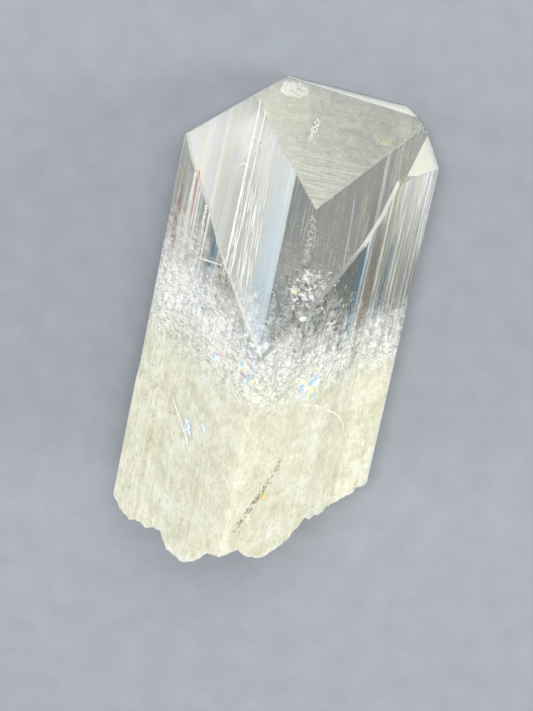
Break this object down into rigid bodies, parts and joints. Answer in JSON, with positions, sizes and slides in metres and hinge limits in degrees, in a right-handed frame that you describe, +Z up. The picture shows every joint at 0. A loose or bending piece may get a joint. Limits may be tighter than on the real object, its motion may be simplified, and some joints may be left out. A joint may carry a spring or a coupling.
{
  "type": "danburite crystal",
  "caption": "Loose prismatic danburite crystal with striated sides, a clear sloping faceted tip and a milky broken foot, lying on its flat back.",
  "frame": {"origin": "on the resting plane, under the middle of the crystal's box", "axes": "+Y along the length towards the broken foot, -Y towards the tip, +Z up from the flat back it lies on to its front edge"},
  "size_m": [0.009, 0.0174, 0.0062],
  "materials": {
    "danburite": "natural crystal faces, clear and glassy at the tip, milky and rougher towards the foot"
  },
  "bodies": {
    "root": {"danburite_crystal": "danburite"}
  },
  "joints": []
}
